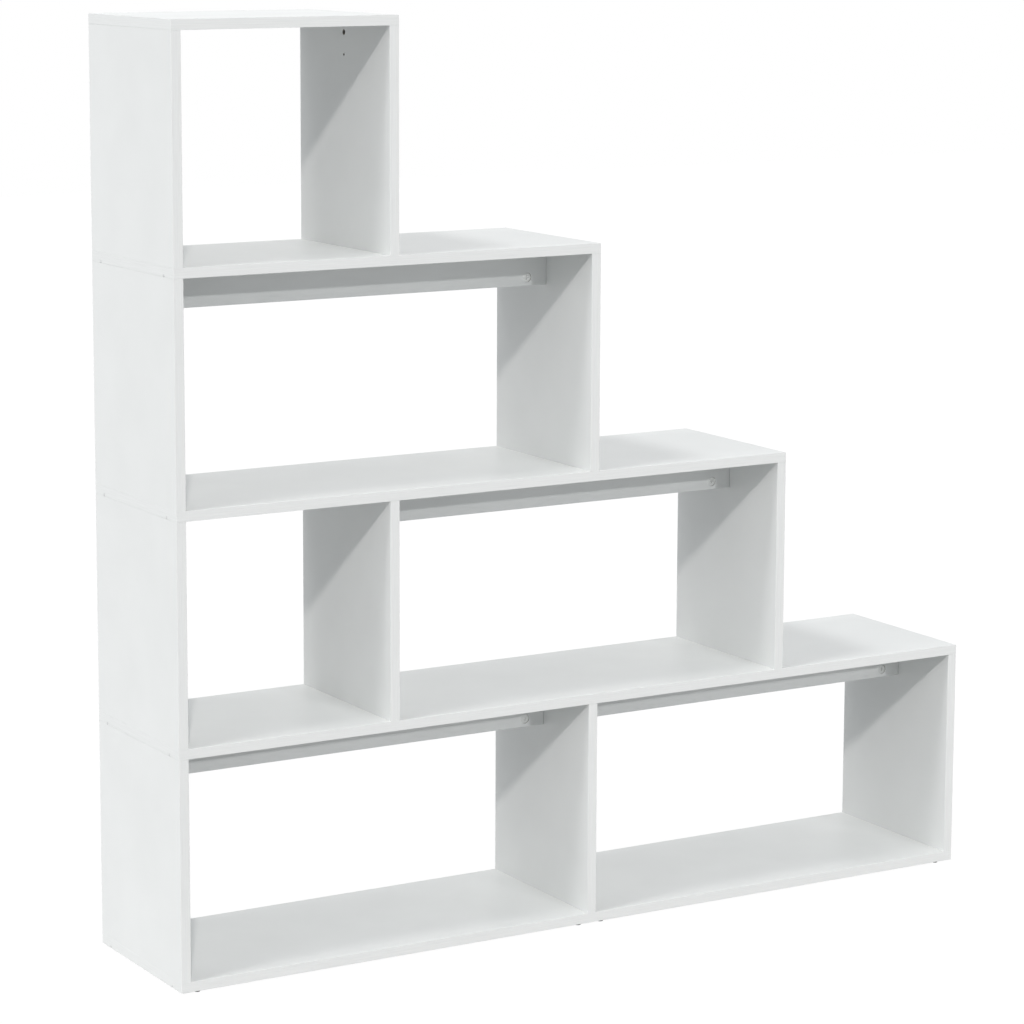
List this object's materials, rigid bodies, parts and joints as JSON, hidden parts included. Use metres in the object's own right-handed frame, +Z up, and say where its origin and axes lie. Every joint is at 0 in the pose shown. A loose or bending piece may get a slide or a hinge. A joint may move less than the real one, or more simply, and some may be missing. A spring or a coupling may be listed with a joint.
{
  "type": "room divider bookcase",
  "caption": "Stepped, open-backed room divider bookcase of white panels, its rows of cells rising like a stair to one side, with rails under the long shelves.",
  "frame": {"origin": "on the floor, below the middle of the bookcase's width and depth", "axes": "+X to the right, towards the low end of the stair; -Y out of the front; +Z up"},
  "size_m": [1.38, 0.275, 1.3825],
  "materials": {
    "white_melamine": "satin white melamine on chipboard",
    "zinc_cam": "die-cast zinc, dull",
    "plated_screw": "zinc-plated steel",
    "black_glide": "moulded black plastic"
  },
  "bodies": {
    "root": {"bottom_board": "white_melamine", "cam_lock_1": "zinc_cam", "cam_lock_2": "zinc_cam", "cam_lock_3": "zinc_cam", "cam_lock_4": "zinc_cam", "cam_lock_5": "zinc_cam", "cam_lock_6": "zinc_cam", "cam_lock_7": "zinc_cam", "cam_lock_8": "zinc_cam", "glide_back_1": "black_glide", "glide_back_2": "black_glide", "glide_back_3": "black_glide", "glide_back_4": "black_glide", "glide_front_1": "black_glide", "glide_front_2": "black_glide", "glide_front_3": "black_glide", "glide_front_4": "black_glide", "rail_row1_left": "white_melamine", "rail_row1_right": "white_melamine", "rail_row2": "white_melamine", "rail_row3": "white_melamine", "screw_row1_left_back": "plated_screw", "screw_row1_left_front": "plated_screw", "screw_row1_middle_back": "plated_screw", "screw_row1_middle_front": "plated_screw", "screw_row1_right_back": "plated_screw", "screw_row1_right_front": "plated_screw", "screw_row2_left_back": "plated_screw", "screw_row2_left_front": "plated_screw", "screw_row2_middle_back": "plated_screw", "screw_row2_middle_front": "plated_screw", "screw_row2_right_back": "plated_screw", "screw_row2_right_front": "plated_screw", "screw_row3_left_back": "plated_screw", "screw_row3_left_front": "plated_screw", "screw_row3_right_back": "plated_screw", "screw_row3_right_front": "plated_screw", "screw_row4_left_back": "plated_screw", "screw_row4_left_front": "plated_screw", "screw_row4_right_back": "plated_screw", "screw_row4_right_front": "plated_screw", "shelf_1": "white_melamine", "shelf_2": "white_melamine", "shelf_3": "white_melamine", "top_board": "white_melamine", "upright_row1_left": "white_melamine", "upright_row1_middle": "white_melamine", "upright_row1_right": "white_melamine", "upright_row2_left": "white_melamine", "upright_row2_middle": "white_melamine", "upright_row2_right": "white_melamine", "upright_row3_left": "white_melamine", "upright_row3_right": "white_melamine", "upright_row4_left": "white_melamine", "upright_row4_right": "white_melamine"}
  },
  "joints": []
}
